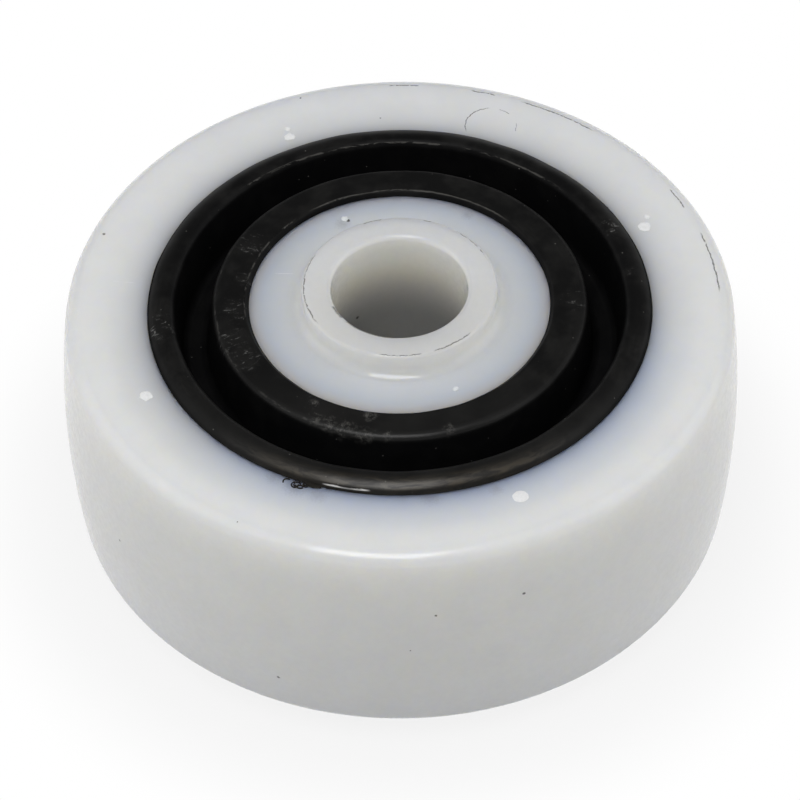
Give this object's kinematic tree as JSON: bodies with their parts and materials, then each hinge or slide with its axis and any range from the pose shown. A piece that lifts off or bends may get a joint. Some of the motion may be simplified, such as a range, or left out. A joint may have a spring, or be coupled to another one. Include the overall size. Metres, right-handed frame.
{
  "type": "trolley wheel",
  "caption": "White nylon trolley wheel with a grooved black rubber ring that cushions the tread from the hub, and a plain through bore for an axle.",
  "frame": {"origin": "centre of the wheel, on the bore axis, halfway between the two boss ends", "axes": "+Z along the bore axis, towards the side with the moulding gate scars; the wheel lies on its side, on the end of its lower boss"},
  "size_m": [0.1, 0.1, 0.0448],
  "materials": {
    "nylon": "milky white moulded nylon, half gloss",
    "rubber": "satin black moulded rubber"
  },
  "bodies": {
    "root": {"tread_ring": "nylon", "cushion_ring": "rubber", "hub": "nylon"}
  },
  "joints": []
}
